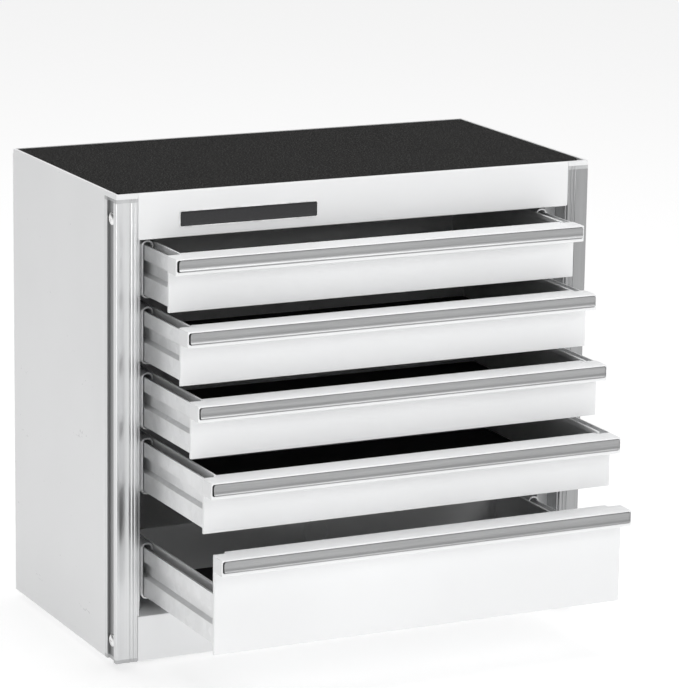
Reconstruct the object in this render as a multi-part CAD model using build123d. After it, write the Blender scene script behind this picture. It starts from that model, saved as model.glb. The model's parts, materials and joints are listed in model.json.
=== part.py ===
from build123d import *
import os

# Bench tool chest: a folded sheet-steel case with two fluted aluminium corner posts and five
# drawers on ball-bearing slides. Millimetres, +Z up, +X to the right, +Y to the back.
# The cabinet frame used below has x = 0 at mid width, y = 0 at the front plane of the posts
# and z = 0 at the underside of the case. A drawer frame has y = 0 at its front face and
# z = 0 at the front's lower edge. The last section moves everything into the part's frame.

# --- driving dimensions: case
BODY_W = 410.0
BODY_D = 218.0
BODY_H = 371.0
SHEET = 1.2
THIN = 1.0
TOP_H = 3.7
RIM_W = 2.5
POST_W = 18.3
POST_D = 23.0
TONGUE = 1.4
CAP_H = 3.0
HEADER_Z = 335.0
KICK_H = 36.3
FOOT_H = 6.0
FOOT_D = 30.0

# --- driving dimensions: drawers
FRONT_W = 350.5
FRONT_EDGE_T = 2.2
FRONT_T = 6.5
LIP_OUT = 14.9
LIP_H = 12.8
LIP_OVER = 0.6
TRAY_W = 332.0
TRAY_L = 188.0
LINER_T = 2.0
CLOSED_SET = 2.0

# One line per drawer, from the top: lower edge of its front, height of its front, how far its
# front stands out at rest, how far its slide sits above the front's lower edge, and how far
# its pull strip is pushed to the right in its channel.
DRAWERS = [
    (284.25, 43.95, 31.9, 1.35, 0.9),
    (232.35, 44.85, 54.6, 1.25, 0.5),
    (180.4, 44.0, 74.5, 1.2, 0.2),
    (128.5, 42.8, 99.2, 1.1, 0.4),
    (39.45, 77.75, 119.2, 5.45, 0.3),
]

# --- driving dimensions: slides
RAIL_H = 45.2
RAIL_D = 9.6
RAIL_T = 1.2
RAIL_ROUND = 4.2
RAIL_X = 177.0
RAIL_FRONT = 16.4
RAIL_BACK = 196.0
HOOK_H = 6.0
BAND_GAP = 1.8
BAND_INSET = 3.2
BAND_HIGH = 11.4
BAND_LOW = 14.6
WEB_RECESS = 3.4
SLANT = 2.4
SLANT_SKIN = 0.9
SPACER_D = 12.0
SPACER_Y = (30.0, 100.0, 170.0)
UPRIGHT_SET = 3.0
LEDGE_OUT = 4.9
LEDGE_T = 1.0
LEDGE_DROP = 6.6
BALL_D = 5.0
BALLS = 6
CAGE_L = 46.0
CAGE_T = 0.6
CAGE_H = 3.4
CAGE_HOME = 111.0
RIVET_HEAD_D = 7.0
RIVET_D = 4.0
RIVET_Y = (30.0, 185.0)

# --- clearances and edge rounding
HOLE_GAP = 0.1
SLIP_GAP = 0.2
FOLD_R = 1.5
EDGE_R = 0.7
SMALL_R = 0.5

HALF_W = BODY_W / 2
OPENING = HALF_W - POST_W
TOP_Z = BODY_H - TOP_H
PROUD = 0.4
FRONT_MOST = -(DRAWERS[-1][2] + LIP_OUT + PROUD)
PLACE = Pos(0, -(BODY_D + FRONT_MOST) / 2, FOOT_H)


def slab(x, y, z):
    """A block between two x, two y and two z values."""
    centre = [(a + b) / 2 for a, b in (x, y, z)]
    return Pos(*centre) * Box(x[1] - x[0], y[1] - y[0], z[1] - z[0])


def both_sides(left):
    """A left-hand solid together with its mirror image on the right."""
    return [left, mirror(left, about=Plane.YZ)]


def along_y(sketch, start, end):
    """A sketch of x and z drawn out from start to end along y."""
    return extrude(Pos(0, end, 0) * (Plane.XZ * sketch), amount=end - start)


def peg(radius, start, end, centre):
    """A round bar along x from start to end, centred on (y, z)."""
    bar = Pos(start, *centre) * (Rot(0, 90, 0) * Cylinder(
        radius, end - start, align=(Align.CENTER, Align.CENTER, Align.MIN)))
    return bar


def save(name, solids):
    """Write one node, made of one or more separate solids, as a STEP file."""
    group = solids if isinstance(solids, list) else [solids]
    placed = [PLACE * s for s in group]
    shape = placed[0] if len(placed) == 1 else Compound(children=placed)
    export_step(shape, f"parts/{name}.step")


# ---------------------------------------------------------------- case panels

SIDE_FLANGE = 14.0
FOOT_FLANGE = 48.0
FOOT_AT = (HALF_W - 32.0, 33.0)
FOOT_BACK = BODY_D - 33.0
FOOT_SCREW_D = 4.4
LID_CORNER = 1.2
MAT_CORNER = 16.0
MAT_GAP = 0.15
MAT_SET = 0.4
FLOOR_GAP = 0.3
FACE_FOLD = 14.0
LID_FOLD = 22.0
BADGE_W = 117.0
BADGE_H = 13.0
BADGE_T = 0.8
BADGE_R = 2.0
BADGE_EDGE = 0.25
BADGE_AT = (-94.5, 349.0)


def foot_places():
    """Centres of the four feet, as (x, y)."""
    return [(side * FOOT_AT[0], y) for side in (-1, 1) for y in (FOOT_AT[1], FOOT_BACK)]


def side_panel():
    """The left side: a folded sheet from behind the post to the back."""
    outer, inner = -HALF_W, -HALF_W + THIN
    edge = inner + SIDE_FLANGE
    panel = slab((outer, inner), (POST_D, BODY_D), (0, TOP_Z))
    panel += slab((inner, inner + FOOT_FLANGE), (POST_D, BODY_D - THIN), (0, THIN))
    panel += slab((inner, edge), (POST_D, POST_D + THIN), (0, TOP_Z))
    panel += slab((inner, edge), (BODY_D - 2 * THIN, BODY_D - THIN), (0, TOP_Z))
    panel += slab((inner, edge), (POST_D, BODY_D - THIN), (TOP_Z - THIN, TOP_Z))
    for y in (FOOT_AT[1], FOOT_BACK):
        panel -= Pos(-FOOT_AT[0], y, 0) * Cylinder(FOOT_SCREW_D / 2, 4 * THIN)
    return panel


def back_panel():
    """The flat back sheet between the two side panels."""
    width = HALF_W - THIN
    return slab((-width, width), (BODY_D - THIN, BODY_D), (0, TOP_Z))


def top_panel():
    """The lid sheet, with a raised rim round the bed of the mat."""
    lid = slab((-HALF_W, HALF_W), (0, BODY_D), (TOP_Z, BODY_H))
    lid = fillet(lid.edges().filter_by(Axis.Z), LID_CORNER)
    bed = HALF_W - RIM_W
    lid -= slab((-bed, bed), (RIM_W, BODY_D - THIN), (TOP_Z + THIN, BODY_H + THIN))
    lid -= slab((-OPENING, OPENING), (-SHEET, SHEET), (TOP_Z - SHEET, BODY_H + SHEET))
    return lid


def top_mat():
    """The grained rubber mat that lies in the lid, cut round over the posts."""
    bed = HALF_W - RIM_W - MAT_GAP
    mat = slab((-bed, bed), (RIM_W + MAT_GAP, BODY_D - THIN - MAT_GAP),
               (TOP_Z + THIN, BODY_H - MAT_SET))
    return fillet(mat.edges().filter_by(Axis.Z).group_by(Axis.Y)[0], MAT_CORNER)


def floor_panel():
    """The case floor, level with the top of the kick plate."""
    low, high = KICK_H - SHEET, KICK_H
    behind_posts = POST_D + THIN + FLOOR_GAP
    between = OPENING - TONGUE - HOLE_GAP
    floor = slab((-between, between), (SHEET, behind_posts), (low, high))
    floor += slab((-HALF_W + THIN, HALF_W - THIN), (behind_posts, BODY_D - 2 * THIN),
                  (low, high))
    floor += slab((-between, between), (SHEET, 2 * SHEET), (KICK_H / 2, high))
    return floor


def header_rail():
    """The plain rail above the drawers, folded back below and under the lid."""
    rail = slab((-OPENING, OPENING), (0, SHEET), (HEADER_Z, BODY_H - HOLE_GAP))
    rail = fillet(rail.edges().filter_by(Axis.Y).group_by(Axis.Z)[0], FOLD_R)
    inset = OPENING - FOLD_R
    rail += slab((-inset, inset), (0, FACE_FOLD), (HEADER_Z, HEADER_Z + SHEET))
    rail += slab((-inset, inset), (0, LID_FOLD), (TOP_Z - SHEET, TOP_Z))
    return fillet(rail.edges().filter_by(Axis.X).sort_by(Axis.Y)[:2], EDGE_R)


def kick_plate():
    """The plate across the foot of the case, with a fold under it."""
    plate = slab((-OPENING, OPENING), (0, SHEET), (0, KICK_H))
    plate += slab((-OPENING, OPENING), (0, FACE_FOLD), (0, SHEET))
    return fillet(plate.edges().filter_by(Axis.X).sort_by(Axis.Y)[:2], EDGE_R)


def blank_badge():
    """A plain plate on the header rail."""
    face = RectangleRounded(BADGE_W, BADGE_H, BADGE_R)
    plate = along_y(Pos(*BADGE_AT) * face, -BADGE_T, 0)
    return fillet(plate.faces().sort_by(Axis.Y)[0].edges(), BADGE_EDGE)


# ---------------------------------------------------------------- corner posts

# Flutes of a post's front: distance of the centre from the outer edge, width, depth.
FLUTES = [(6.6, 7.6, 0.55), (12.3, 2.0, 0.6), (15.2, 1.5, 0.5)]
GROOVE = (5.0, 18.0)
GROOVE_DEPTH = 2.0
WALL = 1.5
SCREW_Z = (16.0, BODY_H - 20.0)
SCREW_HEAD_D = 9.9
SCREW_D = 5.0
SCREW_HEAD_H = 1.9
SCREW_HEAD_R = 1.5
SCREW_REACH = 8.0
CROSS_REACH = 2.4
CROSS_HALF = 0.5
CROSS_DEPTH = 0.9
POST_CORNER = 1.0
FRONT_WALL = 2.1
WEB_Y = 2.1
WEB_T = 1.2


def post_outline():
    """The outer outline of the left post's extrusion, in plan."""
    outline = Pos(-HALF_W + POST_W / 2, POST_D / 2) * Rectangle(POST_W, POST_D)
    outline = fillet(outline.vertices().group_by(Axis.Y)[0], POST_CORNER)
    for centre, width, depth in FLUTES:
        radius = (width ** 2 / 4 + depth ** 2) / (2 * depth)
        outline -= Pos(-HALF_W + centre, depth - radius) * Circle(radius)
    middle, span = sum(GROOVE) / 2, GROOVE[1] - GROOVE[0]
    outline -= Pos(-HALF_W, middle) * Rectangle(2 * GROOVE_DEPTH, span)
    return outline


def post():
    """The left corner post: a hollow fluted extrusion with a narrow inward tongue."""
    hollow_x = (-HALF_W + GROOVE_DEPTH + WALL, -OPENING - WALL)
    hollow_y = (FRONT_WALL, POST_D - WALL)
    section = post_outline()
    section -= Pos(sum(hollow_x) / 2, sum(hollow_y) / 2) * Rectangle(
        hollow_x[1] - hollow_x[0], hollow_y[1] - hollow_y[0])
    section += Pos(-OPENING + TONGUE / 2, WEB_Y) * Rectangle(TONGUE, WEB_T)
    bar = Pos(0, 0, CAP_H) * extrude(section, amount=TOP_Z - 2 * CAP_H)
    for z in SCREW_Z:
        bar -= peg(SCREW_D / 2 + HOLE_GAP, -HALF_W - WALL, hollow_x[0] + WALL, (sum(GROOVE) / 2, z))
    return bar


def end_caps():
    """The moulded plugs that close both ends of both posts."""
    plug = extrude(post_outline(), amount=CAP_H)
    ends = [plug, Pos(0, 0, TOP_Z - CAP_H) * plug]
    return [cap for end in ends for cap in both_sides(end)]


def post_screws():
    """Pan-head screws, two in the side groove of each post."""
    seat = -HALF_W + GROOVE_DEPTH
    screws = []
    for z in SCREW_Z:
        at = (sum(GROOVE) / 2, z)
        head = peg(SCREW_HEAD_D / 2, seat - SCREW_HEAD_H, seat, at)
        head = fillet(head.edges().sort_by(Axis.X)[0], SCREW_HEAD_R)
        recess = (seat - 2 * SCREW_HEAD_H, seat - SCREW_HEAD_H + CROSS_DEPTH)
        for along, across in ((CROSS_REACH, CROSS_HALF), (CROSS_HALF, CROSS_REACH)):
            head -= slab(recess, (at[0] - along, at[0] + along), (z - across, z + across))
        screws += both_sides(head + peg(SCREW_D / 2, seat, seat + SCREW_REACH, at))
    return screws


# ---------------------------------------------------------------- feet

FOOT_TAPER = 1.5
WELL_D = 11.0
WELL_H = 3.0
FOOT_HEAD_D = 9.4
FOOT_HEAD_H = 2.4
FOOT_SHANK_D = 4.0


def feet():
    """Four round rubber feet, each with a deep hole for its screw."""
    radius = FOOT_D / 2
    foot = Cone(radius - FOOT_TAPER, radius, FOOT_H,
                align=(Align.CENTER, Align.CENTER, Align.MIN))
    foot -= Pos(0, 0, WELL_H / 2) * Cylinder(WELL_D / 2, WELL_H)
    foot -= Cylinder(FOOT_SCREW_D / 2, 4 * FOOT_H)
    return [Pos(x, y, -FOOT_H) * foot for x, y in foot_places()]


def foot_screws():
    """The screws that hold the feet to the side panels' lower folds."""
    bottom = (Align.CENTER, Align.CENTER, Align.MIN)
    seat = WELL_H - FOOT_H
    screw = Pos(0, 0, seat - FOOT_HEAD_H) * Cylinder(FOOT_HEAD_D / 2, FOOT_HEAD_H, align=bottom)
    screw += Pos(0, 0, seat) * Cylinder(FOOT_SHANK_D / 2, FOOT_H + THIN, align=bottom)
    return [Pos(x, y, 0) * screw for x, y in foot_places()]


# ---------------------------------------------------------------- slides

UPRIGHT_FRONT_D = 30.0
UPRIGHT_BACK = 170.0
UPRIGHT_BACK_D = 32.0


def upright(y, depth, to_front):
    """A folded steel upright on the left that carries the ends of five cabinet rails."""
    web_x = (-RAIL_X - SHEET, -RAIL_X)
    low, high = KICK_H, TOP_Z - 2 * SHEET
    front, back = y, y + depth
    fold = (front, front + SHEET) if to_front else (back - SHEET, back)
    far = (back - SHEET, back) if to_front else (front, front + SHEET)
    bar = slab(web_x, (front, back), (low, high))
    bar += slab((-OPENING + HOLE_GAP, -RAIL_X), fold, (low, high))
    foot_x = -HALF_W + THIN
    bar += slab((foot_x, -RAIL_X), far, (low, high))
    for bottom, _, _, rise, _ in DRAWERS:
        for hole_y in RIVET_Y:
            if front < hole_y < back:
                z = bottom + rise + RAIL_H / 2
                bar -= peg(RIVET_D / 2 + HOLE_GAP, web_x[0] - SHEET, web_x[1] + SHEET, (hole_y, z))
    return bar


def uprights():
    """Front and rear uprights of the left side."""
    return [upright(RAIL_FRONT + UPRIGHT_SET, UPRIGHT_FRONT_D, True),
            upright(UPRIGHT_BACK, UPRIGHT_BACK_D, False)]


def cabinet_rail(z):
    """The left cabinet rail of one drawer: a C with curled lips, open towards the drawer."""
    at = Pos(-RAIL_X + RAIL_D / 2, z + RAIL_H / 2)
    section = at * RectangleRounded(RAIL_D, RAIL_H, RAIL_ROUND)
    section -= at * RectangleRounded(
        RAIL_D - 2 * RAIL_T, RAIL_H - 2 * RAIL_T, RAIL_ROUND - RAIL_T)
    section -= Pos(-RAIL_X + RAIL_D, z + RAIL_H / 2) * Rectangle(
        3 * RAIL_T, RAIL_H - 2 * HOOK_H)
    rail = along_y(section, RAIL_FRONT, RAIL_BACK)
    for y in RIVET_Y:
        rail -= peg(RIVET_D / 2 + HOLE_GAP, -RAIL_X - RAIL_T, -RAIL_X + 2 * RAIL_T,
                    (y, z + RAIL_H / 2))
    return rail


def rivets():
    """Rivets that hold every cabinet rail to its uprights."""
    found = []
    for bottom, _, _, rise, _ in DRAWERS:
        for y in RIVET_Y:
            at = (y, bottom + rise + RAIL_H / 2)
            rivet = peg(RIVET_HEAD_D / 2, -RAIL_X + RAIL_T, -RAIL_X + 2 * RAIL_T, at)
            rivet += peg(RIVET_D / 2, -RAIL_X - SHEET, -RAIL_X + RAIL_T, at)
            rivet += peg(RIVET_HEAD_D / 2 - SMALL_R, -RAIL_X - 2 * SHEET, -RAIL_X - SHEET, at)
            found += both_sides(rivet)
    return found


def drawer_rail(rise):
    """The left drawer rail: two outward bands, a shallow web, spacers and two ball ledges."""
    half, out = RAIL_H / 2, BAND_GAP
    web_out, web_in = out + WEB_RECESS, out + WEB_RECESS + RAIL_T
    edge = half - BAND_INSET
    turn_high, turn_low = edge - BAND_HIGH, BAND_LOW - edge
    web_high, web_low = turn_high - SLANT, turn_low + SLANT
    section = make_face(Polyline(
        (web_in, web_high + SLANT_SKIN), (out + RAIL_T, turn_high + SLANT_SKIN),
        (out + RAIL_T, edge), (out, edge), (out, turn_high), (web_out, web_high),
        (web_out, web_low), (out, turn_low), (out, -edge), (out + RAIL_T, -edge),
        (out + RAIL_T, turn_low - SLANT_SKIN), (web_in, web_low - SLANT_SKIN), close=True))
    ledge_v = half - LEDGE_DROP - LEDGE_T / 2
    for side in (-1, 1):
        section += Pos(out + RAIL_T + LEDGE_OUT / 2, side * ledge_v) * Rectangle(
            LEDGE_OUT, LEDGE_T)
    section = Pos(-RAIL_X, rise + half) * section
    rail = along_y(section, FRONT_EDGE_T + SLIP_GAP, TRAY_L)
    spacer_z = rise + half + (web_high + web_low) / 2
    for y in SPACER_Y:
        rail += peg(SPACER_D / 2, web_in - RAIL_X - RAIL_T / 2, -TRAY_W / 2, (y, spacer_z))
    return rail


def ball_cage(z, centre_y, low):
    """One retainer strip with its row of balls, in the upper or lower race on the left."""
    ball_x = -RAIL_X + (BAND_GAP + RAIL_D) / 2
    ball_z = LEDGE_DROP - BALL_D / 2 - SLIP_GAP
    ball_z = z + (ball_z if low else RAIL_H - ball_z)
    start, end = centre_y - CAGE_L / 2, centre_y + CAGE_L / 2
    strip = slab((ball_x - CAGE_T / 2, ball_x + CAGE_T / 2), (start, end),
                 (ball_z - CAGE_H / 2, ball_z + CAGE_H / 2))
    pitch = CAGE_L / BALLS
    for i in range(BALLS):
        strip += Pos(ball_x, start + (i + 0.5) * pitch, ball_z) * Sphere(BALL_D / 2)
    return strip


def ball_cages(z, rest_out):
    """The four retainer strips of one drawer; they travel half as far as the drawer."""
    centre_y = CAGE_HOME - (rest_out + CLOSED_SET) / 2
    strips = []
    for low in (True, False):
        strips += both_sides(ball_cage(z, centre_y, low))
    return strips


# ---------------------------------------------------------------- drawers

WALL_RISE = 43.4
HEM_H = 4.0
HEM_T = 1.8
CHANNEL_H = 9.4
CHANNEL_DEPTH = 1.5
CHANNEL_DROP = 1.0
CHANNEL_HALF = 174.9
STRIP_GAP = 0.3
STRIP_HALF = 173.9
TAPE_T = 0.3
CHANNEL_R = 1.8
STRIP_R = 1.6
HOLLOW = 0.7
BACK_DROP = 2.3
RING_D = 24.0
RING_HOLE_D = 18.0
RING_T = 1.2
RING_SINK = 0.4
RING_Z = 21.0
PAN_CORNER = 1.0
MAT_CLEAR = 0.4


def tray(height, rise):
    """The folded drawer body, open at the top, whose side walls reach the front's edges."""
    half, floor = TRAY_W / 2, rise - SLIP_GAP
    top = rise + WALL_RISE
    front_top = min(top, height) - 2 * SHEET
    back_top = top - BACK_DROP
    body = slab((-half, half), (FRONT_T, TRAY_L), (floor, floor + THIN))
    body += slab((-half, half), (FRONT_T, FRONT_T + THIN), (floor, front_top))
    body += slab((-half, half), (TRAY_L - THIN, TRAY_L), (floor, back_top))
    body += slab((-half, half), (TRAY_L - HEM_T, TRAY_L), (back_top - HEM_H, back_top))
    wall = slab((-half, -half + THIN), (FRONT_EDGE_T + HOLE_GAP, TRAY_L), (floor, top))
    hem = slab((-half, -half + HEM_T), (FRONT_EDGE_T + HOLE_GAP, TRAY_L), (top - HEM_H, top))
    hem = fillet(hem.edges().filter_by(Axis.Y), SMALL_R)
    for side in both_sides(wall) + both_sides(hem):
        body += side
    ring = Pos(0, TRAY_L - THIN - RING_SINK, floor + RING_Z) * (Rot(90, 0, 0) * (
        Cylinder(RING_D / 2, RING_T) - Cylinder(RING_HOLE_D / 2, 2 * RING_T)))
    return body + ring


def drawer_front(height):
    """The pan-shaped drawer front with its forward lip and the channel for the pull strip."""
    half, fold_half = FRONT_W / 2, TRAY_W / 2 - HEM_T - SLIP_GAP
    lip_half = half + LIP_OVER
    pan = slab((-half, half), (0, FRONT_EDGE_T), (0, height))
    pan = fillet(pan.edges().filter_by(Axis.Z).group_by(Axis.Y)[0], PAN_CORNER)
    lip = slab((-lip_half, lip_half), (-LIP_OUT, SHEET / 2), (height - LIP_H, height))
    lip = fillet(lip.edges().filter_by(Axis.Z).group_by(Axis.Y)[0], PAN_CORNER)
    lip = fillet(lip.edges().filter_by(Axis.X).group_by(Axis.Y)[0], EDGE_R)
    shell = pan + lip
    shell += slab((-fold_half, fold_half), (SHEET / 2, FRONT_T), (height - 3 * SHEET, height))
    inner = half - SHEET
    behind_channel = -LIP_OUT + CHANNEL_DEPTH + SHEET
    shell -= slab((-inner, inner), (SHEET, FRONT_EDGE_T + SHEET), (SHEET, height - 3 * SHEET))
    shell -= slab((-inner, inner), (behind_channel, FRONT_EDGE_T - SHEET / 2),
                  (height - LIP_H + SHEET, height - SHEET))
    shell -= slab((-half + SHEET, half - SHEET), (0, FRONT_T - SHEET),
                  (height - 2 * SHEET, height - SHEET))
    channel_z = height - CHANNEL_DROP - CHANNEL_H / 2
    channel = Pos(0, channel_z) * RectangleRounded(2 * CHANNEL_HALF, CHANNEL_H, CHANNEL_R)
    shell -= along_y(channel, -LIP_OUT - SHEET, -LIP_OUT + CHANNEL_DEPTH)
    return shell


def pull_strip(height, shift):
    """The aluminium strip with a hollow front, set in the channel of the lip."""
    middle = height - CHANNEL_DROP - CHANNEL_H / 2
    high = CHANNEL_H - 2 * STRIP_GAP
    strip = along_y(Pos(0, middle) * RectangleRounded(2 * STRIP_HALF, high, STRIP_R),
                    -LIP_OUT - PROUD, -LIP_OUT + CHANNEL_DEPTH - TAPE_T)
    radius = ((high - STRIP_R) ** 2 / 4 + HOLLOW ** 2) / (2 * HOLLOW)
    scoop_y = -LIP_OUT - PROUD - radius + HOLLOW
    strip -= Pos(0, scoop_y, middle) * (Rot(0, 90, 0) * Cylinder(radius, 3 * STRIP_HALF))
    return Pos(shift, 0, 0) * strip


def liner(rise):
    """The soft mat on the drawer floor."""
    half, floor = TRAY_W / 2 - HEM_T - SLIP_GAP, rise - SLIP_GAP + THIN
    mat = slab((-half, half), (FRONT_T + THIN + MAT_CLEAR, TRAY_L - HEM_T - MAT_CLEAR),
               (floor, floor + LINER_T))
    return mat


def save_drawer(number, bottom, height, rest_out, rise, shift):
    """Write the nodes of one drawer and of its slides."""
    at = Pos(0, -rest_out, bottom)
    name = f"drawer_{number}"
    save(f"{name}_tray", at * tray(height, rise))
    save(f"{name}_front", at * drawer_front(height))
    save(f"{name}_pull", at * pull_strip(height, shift))
    save(f"{name}_liner", at * liner(rise))
    left, right = both_sides(drawer_rail(rise))
    save(f"{name}_rail_left", at * left)
    save(f"{name}_rail_right", at * right)
    save(f"cabinet_rails_{number}", both_sides(cabinet_rail(bottom + rise)))
    save(f"ball_cages_{number}", ball_cages(bottom + rise, rest_out))


# ---------------------------------------------------------------- write every node

def save_pair(name, left):
    """Write a left-hand node and its mirror image as the right-hand node."""
    save(f"left_{name}", left)
    save(f"right_{name}", [mirror(s, about=Plane.YZ) for s in left])


os.makedirs("parts", exist_ok=True)
save_pair("side_panel", [side_panel()])
save_pair("post", [post()])
save_pair("uprights", uprights())
save("back_panel", back_panel())
save("top_panel", top_panel())
save("top_mat", top_mat())
save("floor_panel", floor_panel())
save("header_rail", header_rail())
save("kick_plate", kick_plate())
save("blank_badge", blank_badge())
save("post_end_caps", end_caps())
save("post_screws", post_screws())
save("rubber_feet", feet())
save("foot_screws", foot_screws())
save("rail_rivets", rivets())
for number, drawer in enumerate(DRAWERS, start=1):
    save_drawer(number, *drawer)
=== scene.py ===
"""Looks for the bench tool chest: its finishes, its small fittings and the studio around it.

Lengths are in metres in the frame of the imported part: +X to the right, +Y to the back, +Z up.
"""

from __future__ import annotations

import json
import logging
import math
from abc import ABC, abstractmethod
from dataclasses import dataclass
from enum import Enum

import bmesh
import bpy
from mathutils import Matrix, Vector

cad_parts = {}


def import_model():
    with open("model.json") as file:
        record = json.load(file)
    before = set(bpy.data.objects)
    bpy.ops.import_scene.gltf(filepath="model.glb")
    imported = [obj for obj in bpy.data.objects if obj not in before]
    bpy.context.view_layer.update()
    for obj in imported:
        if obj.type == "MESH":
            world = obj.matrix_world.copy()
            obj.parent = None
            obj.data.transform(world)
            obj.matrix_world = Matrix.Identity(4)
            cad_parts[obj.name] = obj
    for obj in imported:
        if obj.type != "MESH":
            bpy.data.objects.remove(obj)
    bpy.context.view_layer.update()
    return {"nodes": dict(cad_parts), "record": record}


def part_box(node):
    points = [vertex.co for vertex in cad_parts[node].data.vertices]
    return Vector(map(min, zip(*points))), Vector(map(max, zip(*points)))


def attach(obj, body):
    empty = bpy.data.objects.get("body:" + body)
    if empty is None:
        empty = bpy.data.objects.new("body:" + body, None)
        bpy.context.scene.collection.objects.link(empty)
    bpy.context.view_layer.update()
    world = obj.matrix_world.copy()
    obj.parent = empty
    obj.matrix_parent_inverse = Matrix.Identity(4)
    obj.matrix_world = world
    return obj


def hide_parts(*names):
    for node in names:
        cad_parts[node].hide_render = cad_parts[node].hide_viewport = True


LOG = logging.getLogger("tool_chest")
SHARP_DEGREES = 40.0
LEAST_CORNER = 0.00005
DRAWER_COUNT = 5

Colour = tuple[float, float, float]
Pair = tuple[float, float]
Triple = tuple[float, float, float]


# ---------------------------------------------------------------- shader graphs


class Value:
    """A node's output socket, with the arithmetic that a shader's values need."""

    def __init__(self, graph: Graph, socket: bpy.types.NodeSocket) -> None:
        """Wrap one output socket of a graph."""
        self.graph = graph
        self.socket = socket

    def _math(self, operation: str, first: Operand, second: Operand) -> Value:
        """Add one Math node.

        Args:
            operation: the Math node's operation.
            first: the upper operand.
            second: the lower operand.

        Returns:
            The result of the operation.
        """
        return self.graph.node("ShaderNodeMath", {"operation": operation}, {0: first, 1: second})

    def __add__(self, other: Operand) -> Value:
        """Sum of this value and another."""
        return self._math("ADD", self, other)

    def __radd__(self, other: Operand) -> Value:
        """Sum with a plain number on the left."""
        return self._math("ADD", other, self)

    def __sub__(self, other: Operand) -> Value:
        """This value less another."""
        return self._math("SUBTRACT", self, other)

    def __rsub__(self, other: Operand) -> Value:
        """A plain number less this value."""
        return self._math("SUBTRACT", other, self)

    def __mul__(self, other: Operand) -> Value:
        """Product of this value and another."""
        return self._math("MULTIPLY", self, other)

    def __rmul__(self, other: Operand) -> Value:
        """Product with a plain number on the left."""
        return self._math("MULTIPLY", other, self)


    def __abs__(self) -> Value:
        """This value without its sign."""
        return self.graph.node("ShaderNodeMath", {"operation": "ABSOLUTE"}, {0: self})


Operand = Value | float | tuple


class Graph:
    """The node tree of one material or of the world."""

    def __init__(self, tree: bpy.types.NodeTree) -> None:
        """Start from an empty tree."""
        self.tree = tree
        tree.nodes.clear()

    @staticmethod
    def _find(sockets: bpy.types.bpy_prop_collection, key: int | str) -> bpy.types.NodeSocket:
        """Find one socket.

        Args:
            sockets: a node's inputs or outputs.
            key: the socket's place, its identifier or its name.

        Returns:
            The socket.
        """
        if isinstance(key, int):
            return sockets[key]
        named = [s for s in sockets if s.identifier == key]
        return named[0] if named else sockets[key]

    def node(self, kind: str, settings: dict | None = None, inputs: dict | None = None,
             output: int | str = 0) -> Value:
        """Add a node, set it up, and feed its sockets.

        Args:
            kind: the node's type.
            settings: the node's own properties; "stops" lists a ramp's (place, colour) pairs.
            inputs: for each socket, a value to set or a Value to link.
            output: the output socket wanted.

        Returns:
            That output, wrapped.
        """
        made = self.tree.nodes.new(kind)
        for key, setting in (settings or {}).items():
            if key == "stops":
                self._set_stops(made.color_ramp, setting)
            else:
                setattr(made, key, setting)
        for key, operand in (inputs or {}).items():
            socket = self._find(made.inputs, key)
            if isinstance(operand, Value):
                self.tree.links.new(operand.socket, socket)
            else:
                socket.default_value = operand
        return Value(self, self._find(made.outputs, output) if made.outputs else None)

    @staticmethod
    def _set_stops(ramp: bpy.types.ColorRamp, stops: list[tuple[float, Colour]]) -> None:
        """Give a colour ramp exactly these stops.

        Args:
            ramp: the ramp to set up.
            stops: its (place, colour) pairs.
        """
        while len(ramp.elements) < len(stops):
            ramp.elements.new(1.0)
        for element, (place, colour) in zip(ramp.elements, stops):
            element.position = place
            element.color = (*colour, 1.0)

    def place(self) -> Value:
        """The point's place in the part's frame, which travels with the piece."""
        return self.node("ShaderNodeTexCoord", output="Object")

    def stretched(self, at: Value, scale: Triple) -> Value:
        """A place with each axis scaled by its own amount."""
        return self.node("ShaderNodeVectorMath", {"operation": "MULTIPLY"}, {0: at, 1: scale})

    def noise(self, at: Value, scale: float, detail: float = 2.0, rough: float = 0.5) -> Value:
        """Smooth noise from 0 to 1.

        Args:
            at: the place to read it at.
            scale: blotches per metre.
            detail: how many finer layers are added.
            rough: the strength of the finer layers.

        Returns:
            The noise's value.
        """
        return self.node("ShaderNodeTexNoise", {}, {
            "Vector": at, "Scale": scale, "Detail": detail, "Roughness": rough})

    def ramp(self, value: Value, low: float, high: float, out_low: float = 0.0,
             out_high: float = 1.0) -> Value:
        """A value mapped from one range to another and held inside it.

        Args:
            value: what is mapped.
            low: the value that gives out_low.
            high: the value that gives out_high.
            out_low: the result at low.
            out_high: the result at high.

        Returns:
            The mapped value.
        """
        return self.node("ShaderNodeMapRange", {"interpolation_type": "SMOOTHSTEP"}, {
            "Value": value, "From Min": low, "From Max": high, "To Min": out_low,
            "To Max": out_high})

    def blend(self, amount: Value, first: Colour | Value, second: Colour | Value) -> Value:
        """A colour between two others.

        Args:
            amount: 0 gives the first colour, 1 the second.
            first: a colour or a link.
            second: a colour or a link.

        Returns:
            The mixed colour.
        """
        ends = [(*c, 1.0) if isinstance(c, tuple) else c for c in (first, second)]
        return self.node("ShaderNodeMix", {"data_type": "RGBA"}, {
            "Factor_Float": amount, "A_Color": ends[0], "B_Color": ends[1]}, "Result_Color")

    def relief(self, height: Value, depth: float, strength: float = 1.0) -> Value:
        """A bumped normal.

        Args:
            height: the relief, from 0 to 1.
            depth: the relief's full depth in metres.
            strength: how much of it shows.

        Returns:
            The normal.
        """
        return self.node("ShaderNodeBump", {}, {
            "Strength": strength, "Distance": depth, "Height": height})

    def surface(self, **sockets: Operand) -> None:
        """Add the surface shader and the output; keys are socket names with _ for spaces."""
        named = {key.replace("_", " "): operand for key, operand in sockets.items()}
        shader = self.node("ShaderNodeBsdfPrincipled", {}, named)
        self.node("ShaderNodeOutputMaterial", {}, {"Surface": shader})


# ---------------------------------------------------------------- finishes


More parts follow.
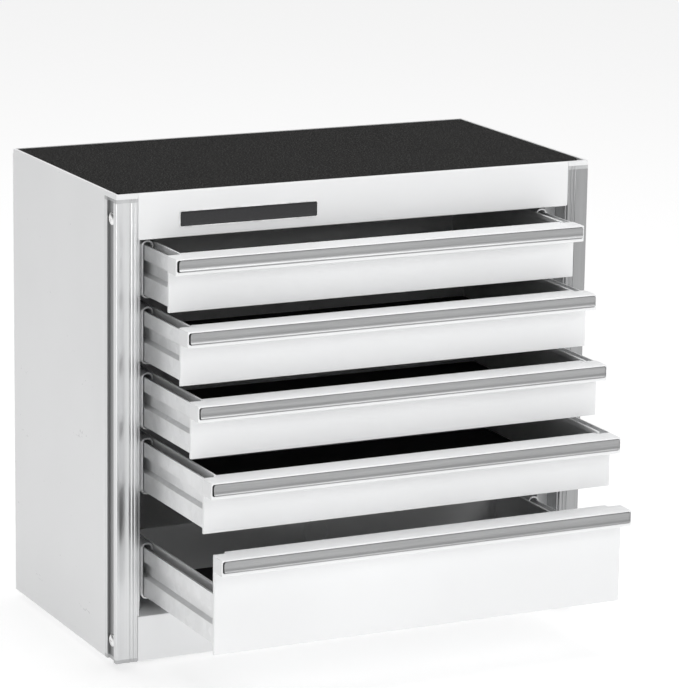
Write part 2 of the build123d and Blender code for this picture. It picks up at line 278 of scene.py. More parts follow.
@dataclass(frozen=True)
class Finish(ABC):
    """A surface finish that knows how to make its own material."""

    name: str

    def material(self) -> bpy.types.Material:
        """The finish's material, made the first time it is asked for."""
        made = bpy.data.materials.get(self.name)
        if made is None:
            made = bpy.data.materials.new(self.name)
            made.use_nodes = True
            self.lay(Graph(made.node_tree))
        return made

    @abstractmethod
    def lay(self, graph: Graph) -> None:
        """Build the finish in an empty graph."""

    def dress(self, *pieces: bpy.types.Object) -> None:
        """Give these pieces this finish all over."""
        for piece in pieces:
            if not piece.material_slots:
                piece.data.materials.append(None)
            for held in piece.material_slots:
                held.material = self.material()


@dataclass(frozen=True)
class PowderCoat(Finish):
    """Baked powder paint with a faint orange peel and slight clouding."""

    colour: Colour
    roughness: float
    peel: float = 0.00006

    def lay(self, graph: Graph) -> None:
        """Build the paint.

        Args:
            graph: the empty graph of its material.
        """
        at = graph.place()
        cloud = graph.noise(at, 5.0, 3.0)
        skin = graph.noise(at, 420.0, 2.0)
        fine = graph.noise(at, 2400.0, 1.0)
        wiped = graph.noise(graph.stretched(at, (2.0, 2.0, 14.0)), 9.0, 3.0, 0.65)
        shade = tuple(0.955 * c for c in self.colour)
        graph.surface(
            Base_Color=graph.blend(graph.ramp(cloud, 0.35, 0.7), self.colour, shade),
            Roughness=self.roughness + 0.10 * (wiped - 0.5) + 0.06 * (skin - 0.5),
            IOR=1.5,
            Normal=graph.relief(skin + 0.3 * fine, self.peel, 0.55),
        )


class Lay(Enum):
    """The direction that a metal's drawing or brushing lines run in."""

    ACROSS = (0.02, 1.0, 1.0)
    UPRIGHT = (1.0, 1.0, 0.012)
    DEEP = (1.0, 0.02, 1.0)


@dataclass(frozen=True)
class DrawnMetal(Finish):
    """Bare metal with long drawing lines, as on extrusions and brushed strip."""

    colour: Colour
    roughness: float
    lay_of_lines: Lay
    line_pitch: float = 0.0009
    depth: float = 0.00003
    contrast: float = 0.12

    def tone(self, graph: Graph, marks: Value) -> Value:
        """The metal's colour.

        Args:
            graph: the graph that it is built in.
            marks: the drawing marks, from 0 to 1.

        Returns:
            The colour, a little duller where the marks are deep.
        """
        dull = tuple((1.0 - self.contrast) * c for c in self.colour)
        return graph.blend(graph.ramp(marks, 0.38, 0.62), self.colour, dull)

    def lay(self, graph: Graph) -> None:
        """Build the metal.

        Args:
            graph: the empty graph of its material.
        """
        at = graph.stretched(graph.place(), self.lay_of_lines.value)
        broad = graph.noise(at, 0.2 / self.line_pitch, 2.0)
        lines = graph.noise(at, 1.0 / self.line_pitch, 3.0, 0.7)
        hair = graph.noise(at, 3.5 / self.line_pitch, 1.0)
        marks = 0.5 * broad + 0.35 * lines + 0.15 * hair
        graph.surface(
            Base_Color=self.tone(graph, marks),
            Metallic=1.0,
            Roughness=self.roughness + 0.18 * (marks - 0.5),
            Normal=graph.relief(lines + 0.5 * hair, self.depth, 0.5),
        )


@dataclass(frozen=True)
class PostMetal(DrawnMetal):
    """Drawn metal with painted shade in its side groove."""

    groove_across: Pair = (0.2020, 0.2042)
    groove_deep: Pair = (-0.0368, -0.0236)
    groove_painted_shade: float = 0.42

    def tone(self, graph: Graph, marks: Value) -> Value:
        """The metal's colour.

        Args:
            graph: the graph that it is built in.
            marks: the drawing marks, from 0 to 1.

        Returns:
            The drawn metal's colour, with painted shade inside the side groove.
        """
        bright = super().tone(graph, marks)
        at = graph.place()
        inside = 1.0
        for axis, (low, high) in (("X", self.groove_across), ("Y", self.groove_deep)):
            along = graph.node("ShaderNodeSeparateXYZ", {}, {"Vector": at}, axis)
            if axis == "X":
                along = abs(along)
            reach = (high - low) / 2
            inside = inside * graph.ramp(abs(along - (low + high) / 2), reach, reach + 0.0001,
                                         1.0, 0.0)
        # painted shade: inside the groove the metal's colour is darkened by groove_painted_shade
        dark = tuple(self.groove_painted_shade * c for c in self.colour)
        return graph.blend(inside, bright, dark)


@dataclass(frozen=True)
class ZincPlate(Finish):
    """Bright zinc plating on pressed steel: a soft spangle and a milky haze."""

    colour: Colour
    roughness: float

    def lay(self, graph: Graph) -> None:
        """Build the plating.

        Args:
            graph: the empty graph of its material.
        """
        at = graph.place()
        spangle = graph.node("ShaderNodeTexVoronoi", {"feature": "F1"}, {
            "Vector": at, "Scale": 160.0}, "Color")
        cell = graph.node("ShaderNodeSeparateColor", {}, {"Color": spangle}, "Red")
        haze = graph.noise(at, 24.0, 4.0, 0.6)
        drawn = graph.noise(graph.stretched(at, Lay.DEEP.value), 1300.0, 2.0)
        tone = 0.18 * cell + 0.82 * haze
        dull = tuple(0.90 * c for c in self.colour)
        graph.surface(
            Base_Color=graph.blend(graph.ramp(tone, 0.3, 0.7), self.colour, dull),
            Metallic=0.6,
            Roughness=self.roughness + 0.10 * (haze - 0.5) + 0.03 * (cell - 0.5),
            Normal=graph.relief(drawn, 0.00002, 0.4),
        )


@dataclass(frozen=True)
class GrainedRubber(Finish):
    """Charcoal rubber with a packed grain of small raised pebbles."""

    dark: Colour
    light: Colour
    pebble: float = 0.0011
    depth: float = 0.00022
    roughness: float = 0.72

    def lay(self, graph: Graph) -> None:
        """Build the rubber.

        Args:
            graph: the empty graph of its material.
        """
        at = graph.place()
        warp = graph.noise(at, 900.0, 1.0)
        gap = graph.node("ShaderNodeTexVoronoi", {"feature": "F1"}, {
            "Vector": at, "Scale": 1.0 / self.pebble, "Randomness": 1.0}, "Distance")
        crown = graph.ramp(gap + 0.35 * (warp - 0.5), 0.15, 0.75, 1.0, 0.0)
        speck = graph.noise(at, 850.0, 1.0, 0.5)
        cloud = graph.noise(at, 12.0, 3.0)
        tone = 0.25 * crown + 0.75 * graph.ramp(speck, 0.5, 0.72) + 0.2 * (cloud - 0.5)
        graph.surface(
            Base_Color=graph.blend(graph.ramp(tone, 0.1, 1.0), self.dark, self.light),
            Roughness=self.roughness + 0.12 * (cloud - 0.5) - 0.1 * crown,
            Specular_IOR_Level=0.06,
            Normal=graph.relief(crown + 0.25 * speck, self.depth, 0.8),
        )


@dataclass(frozen=True)
class FoamSheet(Finish):
    """Thin closed-cell foam with tiny open pores."""

    dark: Colour
    light: Colour

    def lay(self, graph: Graph) -> None:
        """Build the foam.

        Args:
            graph: the empty graph of its material.
        """
        at = graph.place()
        pores = graph.node("ShaderNodeTexVoronoi", {"feature": "F1"}, {
            "Vector": at, "Scale": 1400.0}, "Distance")
        nap = graph.noise(at, 40.0, 4.0, 0.6)
        tone = 0.6 * graph.ramp(pores, 0.1, 0.7) + 0.4 * nap
        graph.surface(
            Base_Color=graph.blend(tone, self.dark, self.light),
            Roughness=0.86 + 0.1 * (nap - 0.5),
            Normal=graph.relief(pores + 0.5 * nap, 0.00012, 0.8),
        )


@dataclass(frozen=True)
class MouldedPolymer(Finish):
    """Moulded plastic or rubber with a fine spark-eroded texture."""

    colour: Colour
    roughness: float
    grain: float = 0.00035

    def lay(self, graph: Graph) -> None:
        """Build the polymer.

        Args:
            graph: the empty graph of its material.
        """
        at = graph.place()
        eroded = graph.noise(at, 1.0 / self.grain, 2.0, 0.6)
        flow = graph.noise(at, 60.0, 3.0)
        shade = tuple(0.8 * c for c in self.colour)
        graph.surface(
            Base_Color=graph.blend(graph.ramp(0.5 * eroded + 0.5 * flow, 0.35, 0.65),
                                   self.colour, shade),
            Roughness=self.roughness + 0.15 * (flow - 0.5),
            Normal=graph.relief(eroded, 0.00005, 0.6),
        )


@dataclass(frozen=True)
class TurnedSteel(Finish):
    """Small plated steel: screw heads, rivets and balls, with fine handling marks."""

    colour: Colour
    roughness: float

    def lay(self, graph: Graph) -> None:
        """Build the steel.

        Args:
            graph: the empty graph of its material.
        """
        at = graph.place()
        scuff = graph.noise(at, 700.0, 3.0, 0.7)
        stain = graph.noise(at, 120.0, 2.0)
        dull = tuple(0.7 * c for c in self.colour)
        graph.surface(
            Base_Color=graph.blend(graph.ramp(stain, 0.4, 0.75), self.colour, dull),
            Metallic=1.0,
            Roughness=self.roughness + 0.2 * (scuff - 0.5),
            Normal=graph.relief(scuff, 0.00002, 0.5),
        )


@dataclass(frozen=True)
class Enamel(Finish):
    """Glossy stoved enamel with faint ripples and dust."""

    colour: Colour

    def lay(self, graph: Graph) -> None:
        """Build the enamel.

        Args:
            graph: the empty graph of its material.
        """
        at = graph.place()
        ripple = graph.noise(at, 150.0, 2.0)
        dust = graph.ramp(graph.noise(at, 3000.0, 1.0), 0.68, 0.8)
        pale = tuple(min(1.0, c + 0.06) for c in self.colour)
        graph.surface(
            Base_Color=graph.blend(dust, self.colour, pale),
            Roughness=0.18 + 0.3 * dust + 0.08 * (ripple - 0.5),
            Normal=graph.relief(ripple, 0.00004, 0.5),
        )


@dataclass(frozen=True)
class StudioFloor(Finish):
    """Plain pale floor."""

    colour: Colour
    glow: float

    def lay(self, graph: Graph) -> None:
        """Build the floor, which glows a little as a lit studio sweep does."""
        graph.surface(Base_Color=(*self.colour, 1.0), Roughness=0.9, Specular_IOR_Level=0.1,
                      Emission_Color=(1.0, 1.0, 1.0, 1.0), Emission_Strength=self.glow)


CASE_PAINT = PowderCoat("white_case_paint", (0.84, 0.845, 0.85), 0.30)
FRONT_PAINT = PowderCoat("white_front_paint", (0.87, 0.875, 0.88), 0.34)
TRAY_PAINT = PowderCoat("pale_tray_paint", (0.82, 0.825, 0.83), 0.36)
# One drawn aluminium in two copies: the left post's lighter colour is painted light and the
# right post's darker colour is painted shade.
LEFT_POST_METAL_PAINTED_LIT = PostMetal("post_aluminium_painted_lit", (0.70, 0.705, 0.71), 0.34, Lay.UPRIGHT,
                            contrast=0.05)
RIGHT_POST_METAL_PAINTED_SHADE = PostMetal("post_aluminium_painted_shade", (0.38, 0.383, 0.387), 0.34,
                             Lay.UPRIGHT, contrast=0.06)
STRIP_METAL = DrawnMetal("brushed_strip_aluminium", (0.38, 0.383, 0.386), 0.30, Lay.ACROSS,
                         0.0006, 0.00003, 0.14)
SLIDE_METAL = ZincPlate("zinc_plated_slides", (0.86, 0.865, 0.87), 0.36)
BALL_METAL = TurnedSteel("bright_ball_steel", (0.75, 0.76, 0.78), 0.16)
SCREW_METAL = TurnedSteel("plated_screw_steel", (0.88, 0.88, 0.88), 0.30)
MAT_RUBBER = GrainedRubber("grained_mat_rubber", (0.004, 0.0039, 0.0037), (0.070, 0.068, 0.066))
LINER_FOAM = FoamSheet("black_liner_foam", (0.006, 0.006, 0.006), (0.020, 0.020, 0.021))
CAP_PLASTIC = MouldedPolymer("grey_cap_plastic", (0.58, 0.585, 0.59), 0.45)
FOOT_RUBBER = MouldedPolymer("black_foot_rubber", (0.020, 0.020, 0.020), 0.62)
BADGE_ENAMEL = Enamel("dark_badge_enamel", (0.012, 0.012, 0.014))


# ---------------------------------------------------------------- mesh work


def rounded_path(corners: list[Pair], radius: float, steps: int = 4) -> list[Pair]:
    """Round the inner corners of a flat open path.

    Args:
        corners: the path's points.
        radius: the rounding radius, cut down where a side is too short for it.
        steps: how many straight runs stand for each corner's arc.

    Returns:
        The path with each inner corner replaced by an arc.
    """
    path = [corners[0]]
    for before, here, after in zip(corners, corners[1:], corners[2:]):
        centre = Vector(here)
        back, ahead = Vector(before) - centre, Vector(after) - centre
        reach = min(radius, 0.45 * back.length, 0.45 * ahead.length)
        start, end = centre + back.normalized() * reach, centre + ahead.normalized() * reach
        for i in range(steps + 1):
            t = i / steps
            bent = start * (1 - t) ** 2 + centre * 2 * t * (1 - t) + end * t ** 2
            path.append((bent.x, bent.y))
    return path + [corners[-1]]


def rounded_box_ring(half: Pair, upper: float, lower: float, steps: int = 8) -> list[Pair]:
    """Points round a rounded rectangle.

    Args:
        half: half its width and half its height.
        upper: the radius of its two upper corners.
        lower: the radius of its two lower corners.
        steps: straight runs per corner.

    Returns:
        The points, counter-clockwise.
    """
    ring = []
    for quarter in range(4):
        diagonal = (quarter + 0.5) * math.pi / 2
        sign_x = math.copysign(1, math.cos(diagonal))
        sign_y = math.copysign(1, math.sin(diagonal))
        corner = upper if sign_y > 0 else lower
        for i in range(steps + 1):
            angle = quarter * math.pi / 2 + i / steps * math.pi / 2
            ring.append((sign_x * (half[0] - corner) + corner * math.cos(angle),
                         sign_y * (half[1] - corner) + corner * math.sin(angle)))
    return ring


class Pole(Enum):
    """The direction in which a turned or built-up piece grows from its own base."""

    UP = Matrix.Identity(4)
    LEFT = Matrix.Rotation(-math.pi / 2, 4, "Y")
    RIGHT = Matrix.Rotation(math.pi / 2, 4, "Y")
    FORWARD = Matrix.Rotation(math.pi / 2, 4, "X")


class Workpiece:
    """A mesh being made, with its vertices in the part's frame."""

    def __init__(self) -> None:
        """Start with nothing."""
        self.mesh = bmesh.new()
        self.finish_index = 0

    def _skin(self, rings: list[list[Vector]], closed_start: bool, closed_end: bool) -> None:
        """Join rings of points with faces and close the ends if wanted.

        Args:
            rings: rings with the same number of points, from base to crown.
            closed_start: whether the first ring is closed with a face.
            closed_end: whether the last ring is closed with a face.
        """
        made = [[self.mesh.verts.new(p) for p in ring] for ring in rings]
        for low, high in zip(made, made[1:]):
            for i in range(len(low)):
                j = (i + 1) % len(low)
                self._face([low[i], low[j], high[j], high[i]])
        if closed_start:
            self._face(list(reversed(made[0])))
        if closed_end:
            self._face(made[-1])

    def _face(self, corners: list[bmesh.types.BMVert]) -> None:
        """Add one face in the present finish.

        Args:
            corners: its corners in order.
        """
        face = self.mesh.faces.new(corners)
        face.material_index = self.finish_index
        face.smooth = True

    def turned(self, profile: list[Pair], centre: Vector, pole: Pole, steps: int = 40) -> None:
        """Add a solid of revolution.

        Args:
            profile: (radius, height) points from the base to the crown, none on the axis.
            centre: where the base's centre goes.
            pole: the direction of its axis.
            steps: points round each ring.
        """
        rings = []
        for radius, height in profile:
            ring = []
            for i in range(steps):
                angle = 2 * math.pi * i / steps
                point = Vector((radius * math.cos(angle), radius * math.sin(angle), height))
                ring.append(centre + pole.value @ point)
            rings.append(ring)
        self._skin(rings, True, True)

    def sheet(self, half: Pair, corner: float, profile: list[Pair], centre: Vector,
              pole: Pole, lower_corner: float | None = None) -> None:
        """Add a rounded rectangle built up in layers.

        Args:
            half: half its width and half its height at no inset.
            corner: its corner radius at no inset.
            profile: (inset, height) points from the base to the top.
            centre: where the base's centre goes.
            pole: the direction in which it is built up.
            lower_corner: the radius of its two lower corners, where they differ.
        """
        rings = []
        lower = corner if lower_corner is None else lower_corner
        for inset, height in profile:
            sides = (half[0] - inset, half[1] - inset)
            flat = rounded_box_ring(sides, max(corner - inset, LEAST_CORNER),
                                    max(lower - inset, LEAST_CORNER))
            rings.append([centre + pole.value @ Vector((x, y, height)) for x, y in flat])
        self._skin(rings, True, True)

    def ball(self, radius: float, centre: Vector) -> None:
        """Add a ball made of an evenly divided icosahedron."""
        made = bmesh.ops.create_icosphere(
            self.mesh, subdivisions=3, radius=radius, matrix=Matrix.Translation(centre))
        for face in {f for v in made["verts"] for f in v.link_faces}:
            face.material_index = self.finish_index
            face.smooth = True

    def next_finish(self) -> None:
        """Faces added from here on take the next material slot."""
        self.finish_index += 1

    def done(self, name: str, *finishes: Finish) -> bpy.types.Object:
        """Close the mesh and make the piece.

        Args:
            name: the piece's name.
            finishes: one finish per material slot.

        Returns:
            The new object.
        """
        bmesh.ops.recalc_face_normals(self.mesh, faces=self.mesh.faces)
        data = bpy.data.meshes.new(name)
        self.mesh.to_mesh(data)
        self.mesh.free()
        data.set_sharp_from_angle(angle=math.radians(SHARP_DEGREES))
        for finish in finishes:
            data.materials.append(finish.material())
        piece = bpy.data.objects.new(name, data)
        bpy.context.scene.collection.objects.link(piece)
        return piece


def cut_away(piece: bpy.types.Object, tool: bpy.types.Object) -> None:
    """Cut one piece's shape out of another for good, and remove the tool.

    Args:
        piece: what is cut.
        tool: the shape that is cut out.
    """
    modifier = piece.modifiers.new("cut", "BOOLEAN")
    modifier.object = tool
    modifier.solver = "EXACT"
    bpy.context.view_layer.update()
    solid = piece.evaluated_get(bpy.context.evaluated_depsgraph_get())
    data = bpy.data.meshes.new_from_object(solid)
    data.name = piece.data.name
    piece.modifiers.clear()
    piece.data = data
    bpy.data.objects.remove(tool)
    data.set_sharp_from_angle(angle=math.radians(SHARP_DEGREES))


def fit(piece: bpy.types.Object, body: str, slot: str, *replaced: str) -> None:
    """Fix a piece to its body, hide the nodes it stands for, and log its face count.

    Args:
        piece: the new piece.
        body: the body that it moves with.
        slot: the record's material slot that it is finished in; not used.
        replaced: the nodes that it stands for, if any.
    """
    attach(piece, body)
    if replaced:
        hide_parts(*replaced)
    LOG.info("%s: %d faces on %s", piece.name, len(piece.data.polygons), body)


def middle(node: str) -> Vector:
    """The middle of a node's box."""
    low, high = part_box(node)
    return (low + high) / 2


# ---------------------------------------------------------------- sub-assemblies


@dataclass
class SteelCase:
    """The painted steel case: sides, back, lid, header, kick plate and floor."""

    nodes: dict[str, bpy.types.Object]

    def dress(self) -> None:
        """Paint the case."""
        painted = ("left_side_panel", "right_side_panel", "back_panel", "top_panel",
                   "floor_panel")
        fronts = ("header_rail", "kick_plate")
        CASE_PAINT.dress(*(self.nodes[n] for n in painted))
        FRONT_PAINT.dress(*(self.nodes[n] for n in fronts))
        LOG.info("case: %s", ", ".join(painted + fronts))


@dataclass
class TopMat:
    """The grained rubber mat in the lid, cut round over the two front posts."""

    front_corner: float = 0.016
    back_corner: float = 0.002
    edge_round: float = 0.0007

    def build(self) -> None:
        """Make the mat with a rounded upper edge."""
        low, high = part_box("top_mat")
        thick = high.z - low.z
        profile = rounded_path([(0.0, 0.0), (0.0, thick), (0.0015, thick)], self.edge_round)
        work = Workpiece()
        work.sheet(((high.x - low.x) / 2, (high.y - low.y) / 2), self.back_corner, profile,
                   Vector((0.0, (low.y + high.y) / 2, low.z)), Pole.UP, self.front_corner)
        fit(work.done("mat_sheet", MAT_RUBBER), "chest", "mat_rubber", "top_mat")


@dataclass
class Badge:
    """A plain enamelled plate in a thin bright frame on the header."""

    corner: float = 0.002
    frame_width: float = 0.0007
    recess: float = 0.0003

    def build(self) -> None:
        """Make the plate and its frame as one piece with two finishes."""
        low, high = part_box("blank_badge")
        thick = high.y - low.y
        half = ((high.x - low.x) / 2, (high.z - low.z) / 2)
        seat = Vector(((low.x + high.x) / 2, high.y, (low.z + high.z) / 2))
        rim = rounded_path([(0.0, 0.0), (0.0, thick), (self.frame_width, thick),
                            (self.frame_width, thick - self.recess)], 0.0002)
        work = Workpiece()
        work.sheet(half, self.corner, rim, seat, Pole.FORWARD)
        work.next_finish()
        inner = (half[0] - self.frame_width, half[1] - self.frame_width)
        crown = rounded_path([(0.0, 0.0), (0.0, thick - 0.00025), (0.002, thick - 0.0001)],
                             0.0002)
        work.sheet(inner, self.corner - self.frame_width, crown, seat, Pole.FORWARD)
        piece = work.done("header_badge", SCREW_METAL, BADGE_ENAMEL)
        fit(piece, "chest", "badge_dark", "blank_badge")


@dataclass
class CornerPosts:
    """The two fluted aluminium posts with their end caps and side screws."""

    nodes: dict[str, bpy.types.Object]
    head_radius: float = 0.00495
    head_height: float = 0.0019
    recess_width: float = 0.0013
    recess_reach: float = 0.0026
    recess_depth: float = 0.0011

    def dress(self) -> None:
        """Give the posts and caps their finishes."""
        # the posts take the painted-light and painted-shade copies of one aluminium
        LEFT_POST_METAL_PAINTED_LIT.dress(self.nodes["left_post"])
        RIGHT_POST_METAL_PAINTED_SHADE.dress(self.nodes["right_post"])
        CAP_PLASTIC.dress(self.nodes["post_end_caps"])

    def build_screws(self) -> None:
        """Make the four cross-recess pan-head screws."""
        low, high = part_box("post_screws")
        y = (low.y + high.y) / 2
        heights = (low.z + self.head_radius, high.z - self.head_radius)
        heads = Workpiece()
        cutters = (Workpiece(), Workpiece())
        profile = rounded_path([
            (self.head_radius, 0.0), (self.head_radius, 0.55 * self.head_height),
            (0.62 * self.head_radius, self.head_height), (0.05 * self.head_radius,
                                                          self.head_height)], 0.0014, 6)
        for pole, face in ((Pole.LEFT, low.x), (Pole.RIGHT, high.x)):
            inward = -math.copysign(self.head_height, face)
            for z in heights:
                heads.turned(profile, Vector((face + inward, y, z)), pole)
                top = Vector((face + inward, y, z))
                for cutter, half in zip(cutters, ((self.recess_reach, self.recess_width / 2),
                                                  (self.recess_width / 2, self.recess_reach))):
                    cutter.sheet(half, 0.0004, [
                        (0.0004, self.head_height - self.recess_depth),
                        (0.0, self.head_height + 0.0004)], top, pole)
        piece = heads.done("post_screw_heads", SCREW_METAL)
        for number, cutter in enumerate(cutters):
            cut_away(piece, cutter.done(f"recess_cutter_{number}"))
        fit(piece, "chest", "screw_steel", "post_screws")


@dataclass
class Feet:
    """Four moulded rubber feet, each with a stepped skirt, and their screws."""

    places: tuple[Pair, ...]
    radius: float = 0.015
    height: float = 0.006

    def build(self) -> None:
        """Make the feet and the screws inside them."""
        r, h = self.radius, self.height
        profile = rounded_path([
            (0.0056, 0.0015), (0.0056, 0.0), (r - 0.0014, 0.0), (r - 0.0006, 0.0022),
            (r - 0.0011, 0.0026), (r - 0.0011, 0.0032), (r, 0.0036), (r, h)], 0.0006)
        feet, screws = Workpiece(), Workpiece()
        head = rounded_path([(0.0019, 0.0), (0.0047, 0.0003), (0.0047, 0.0012)], 0.0006)
        for x, y in self.places:
            feet.turned(profile, Vector((x, y, 0.0)), Pole.UP, 64)
            screws.turned(head, Vector((x, y, 0.0006)), Pole.UP)
        fit(feet.done("moulded_feet", FOOT_RUBBER), "chest", "foot_rubber", "rubber_feet")
        fit(screws.done("foot_screw_heads", SCREW_METAL), "chest", "screw_steel",
            "foot_screws")


@dataclass
class Slides:
    """The cabinet rails, uprights, rivets and ball cages that carry the drawers."""

    nodes: dict[str, bpy.types.Object]
    rivet_places: Pair = (-0.01175, 0.14325)
    rivet_radius: float = 0.0035
    rivet_height: float = 0.0012
    web_x: float = 0.1758
    ball_radius: float = 0.0025
    balls: int = 6

    def dress(self) -> None:
        """Plate every rail and upright."""
        names = ["left_uprights", "right_uprights"]
        for number in range(1, DRAWER_COUNT + 1):
            names += [f"cabinet_rails_{number}", f"drawer_{number}_rail_left",
                      f"drawer_{number}_rail_right"]
        SLIDE_METAL.dress(*(self.nodes[n] for n in names))
        LOG.info("slides: %d plated nodes", len(names))

    def build_rivets(self) -> None:
        """Make the domed heads of the blind rivets, each with its mandrel hole."""
        r, h = self.rivet_radius, self.rivet_height
        profile = rounded_path([(r, 0.0), (r, 0.3 * h), (0.55 * r, h), (0.32 * r, h),
                                (0.26 * r, 0.35 * h)], 0.0006)
        work = Workpiece()
        for number in range(1, DRAWER_COUNT + 1):
            z = middle(f"cabinet_rails_{number}").z
            for y in self.rivet_places:
                for side, pole in ((-1, Pole.RIGHT), (1, Pole.LEFT)):
                    work.turned(profile, Vector((side * self.web_x, y, z)), pole, 28)
        fit(work.done("rivet_heads", SCREW_METAL), "chest", "screw_steel", "rail_rivets")

    def build_cages(self, number: int) -> None:
        """Make the ball cages of one drawer.

        Args:
            number: the drawer's number, counted from the top.
        """
        low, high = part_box(f"ball_cages_{number}")
        r = self.ball_radius
        pitch = (high.y - low.y) / self.balls
        work = Workpiece()
        half = (0.0017, (high.y - low.y) / 2)
        web = rounded_path([(0.0, -0.0003), (0.0, 0.0003), (0.0008, 0.00031)], 0.0001)
        places = [(side * (high.x - r), z) for side in (-1, 1) for z in (low.z + r, high.z - r)]
        for x, z in places:
            centre = Vector((x, (low.y + high.y) / 2, z))
            work.sheet(half, 0.0015, web, centre, Pole.RIGHT)
            for i in range(self.balls):
                seat = Vector((x, low.y + (i + 0.5) * pitch, z))
                collar = rounded_path([(0.0029, -0.0007), (0.0029, 0.0007),
                                       (0.0024, 0.0007)], 0.0002, 2)
                work.turned(collar, seat, Pole.RIGHT, 24)
        work.next_finish()
        for x, z in places:
            for i in range(self.balls):
                work.ball(r, Vector((x, low.y + (i + 0.5) * pitch, z)))
        piece = work.done(f"ball_row_{number}", SLIDE_METAL, BALL_METAL)
        fit(piece, f"cages_{number}", "ball_steel", f"ball_cages_{number}")


@dataclass
class Drawer:
    """One drawer: folded tray, pan front, pull strip and liner."""

    nodes: dict[str, bpy.types.Object]
    number: int
    liner_round: float = 0.0008
    # A black sheet behind the pull strip: painted shade for the gaps round the strip.
    painted_shade_half: float = 0.1746
    painted_shade_thick: float = 0.00028
    painted_shade_spare: float = 0.0002
    painted_shade_corner: float = 0.0016

    @property
    def name(self) -> str:
        """The drawer's body name."""
        return f"drawer_{self.number}"

    def dress(self) -> None:
        """Paint the tray and front and brush the strip."""
        TRAY_PAINT.dress(self.nodes[f"{self.name}_tray"])
        FRONT_PAINT.dress(self.nodes[f"{self.name}_front"])
        STRIP_METAL.dress(self.nodes[f"{self.name}_pull"])

    def build_liner(self) -> None:
        """Make the foam sheet on the drawer's floor."""
        low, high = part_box(f"{self.name}_liner")
        thick = high.z - low.z
        profile = rounded_path([(0.0, 0.0), (0.0, thick), (0.003, thick)], self.liner_round)
        work = Workpiece()
        work.sheet(((high.x - low.x) / 2, (high.y - low.y) / 2), 0.002, profile,
                   Vector((0.0, (low.y + high.y) / 2, low.z)), Pole.UP)
        fit(work.done(f"liner_sheet_{self.number}", LINER_FOAM), self.name, "liner_foam",
            f"{self.name}_liner")


    def build_painted_shade_tape(self) -> None:
        """Make the black tape sheet behind the pull strip, put there as painted shade in the
        gaps round the strip.
        """
        low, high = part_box(f"{self.name}_pull")
        half = (self.painted_shade_half, (high.z - low.z) / 2 + self.painted_shade_spare)
        profile = [(0.0, 0.0), (0.0, self.painted_shade_thick)]
        seat = Vector((0.0, high.y + self.painted_shade_thick, (low.z + high.z) / 2))
        work = Workpiece()
        work.sheet(half, self.painted_shade_corner, profile, seat, Pole.FORWARD)
        fit(work.done(f"strip_tape_{self.number}", LINER_FOAM), self.name, "liner_foam")


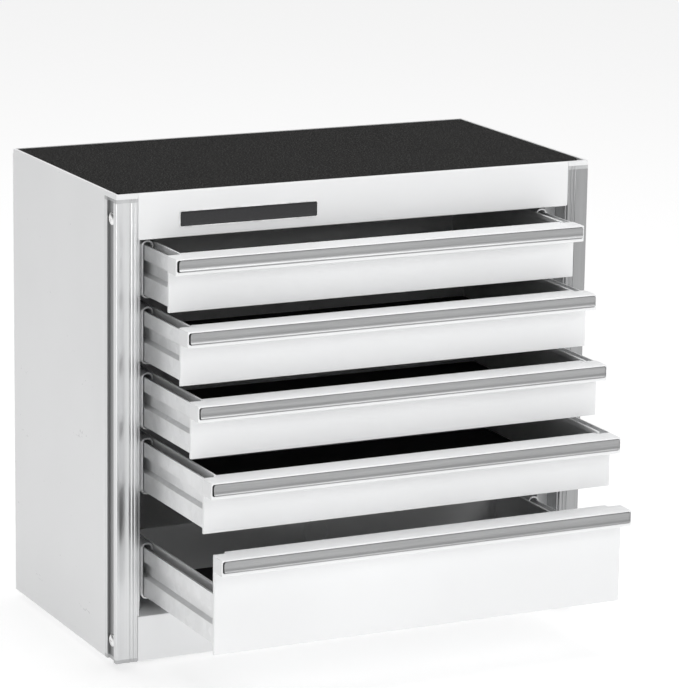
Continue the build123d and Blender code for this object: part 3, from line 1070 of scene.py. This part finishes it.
@dataclass
class Studio:
    """Camera, floor and soft lights."""

    aim: Triple = (0.0083, 0.0069, 0.2324)
    distance: float = 2.8377
    turn: float = 26.1234
    dip: float = 13.1387
    roll: float = 0.8293
    lens: float = 185.37
    floor_half: float = 14.0
    sky: float = 0.62
    left_wall: float = 0.02

    def build(self) -> None:
        """Set up everything round the object."""
        self._camera()
        self._floor()
        self._world()
        self._softbox("key", (0.5, -1.35, 0.95), (1.0, 0.6), 5.4)
        self._softbox("left", (-1.7, -1.25, 0.2), (1.0, 0.3), 6.5)
        self._softbox("top", (0.0, 0.2, 2.8), (2.0, 2.0), 34.0)
        bpy.context.scene.view_settings.view_transform = "Standard"

    def _camera(self) -> None:
        """Aim the camera from the front left, a little above."""
        data = bpy.data.cameras.new("camera")
        data.lens = self.lens
        data.clip_end = 100.0
        camera = bpy.data.objects.new("camera", data)
        turned = (Matrix.Rotation(math.radians(-self.turn), 4, "Z")
                  @ Matrix.Rotation(math.radians(-self.dip), 4, "X")
                  @ Matrix.Rotation(math.radians(-self.roll), 4, "Y")
                  @ Matrix.Rotation(math.pi / 2, 4, "X"))
        back = turned.to_3x3() @ Vector((0.0, 0.0, self.distance))
        camera.matrix_world = Matrix.Translation(Vector(self.aim) + back) @ turned
        bpy.context.scene.collection.objects.link(camera)
        bpy.context.scene.camera = camera

    def _floor(self) -> None:
        """Lay the floor under the feet."""
        work = Workpiece()
        work.sheet((self.floor_half, self.floor_half), 6.0, [(0.0, -0.02), (0.0, 0.0)],
                   Vector(), Pole.UP)
        floor = work.done("floor", StudioFloor("pale_floor", (0.52, 0.52, 0.52), 0.60))

    def _world(self) -> None:
        """Light the room from all round, less from the left wall and most from the front."""
        world = bpy.data.worlds.new("room")
        world.use_nodes = True
        graph = Graph(world.node_tree)
        heading = graph.node("ShaderNodeTexCoord", output="Generated")
        across = graph.node("ShaderNodeSeparateXYZ", {}, {"Vector": heading}, "X")
        lit = graph.ramp(across, -0.95, -0.1, self.left_wall, self.sky)
        sky = graph.node("ShaderNodeBackground", {}, {
            "Color": (1.0, 1.0, 1.0, 1.0), "Strength": lit})
        graph.node("ShaderNodeOutputWorld", {}, {"Surface": sky})
        bpy.context.scene.world = world

    def _softbox(self, name: str, at: Triple, size: Pair, power: float) -> None:
        """Hang a soft light that faces the object.

        Args:
            name: the light's name.
            at: its place.
            size: its width and height.
            power: its power in watts.
        """
        data = bpy.data.lights.new(name, "AREA")
        data.shape = "RECTANGLE"
        data.size, data.size_y = size
        data.energy = power
        lamp = bpy.data.objects.new(name, data)
        lamp.location = at
        facing = Vector((0.0, 0.0, 0.18)) - Vector(at)
        lamp.rotation_euler = facing.to_track_quat("-Z", "Y").to_euler()
        bpy.context.scene.collection.objects.link(lamp)


def corners(box: tuple[Vector, Vector]) -> list[list[float]]:
    """A box's two corners as plain lists of numbers."""
    return [[round(float(c), 6) for c in corner] for corner in box]


def main() -> None:
    """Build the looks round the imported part, one sub-assembly at a time."""
    logging.basicConfig(level=logging.INFO, format="%(name)s: %(message)s")
    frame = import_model()
    nodes = frame["nodes"]
    SteelCase(nodes).dress()
    TopMat().build()
    Badge().build()
    posts = CornerPosts(nodes)
    posts.dress()
    posts.build_screws()
    mounts = [m for m in frame["record"]["mounts"] if m["name"].startswith("foot")]
    Feet(tuple((m["pos_m"][0], m["pos_m"][1]) for m in mounts)).build()
    slides = Slides(nodes)
    slides.dress()
    slides.build_rivets()
    for number in range(1, DRAWER_COUNT + 1):
        slides.build_cages(number)
        drawer = Drawer(nodes, number)
        drawer.dress()
        drawer.build_liner()
        drawer.build_painted_shade_tape()
    Studio().build()


if __name__ == "__main__":
    main()
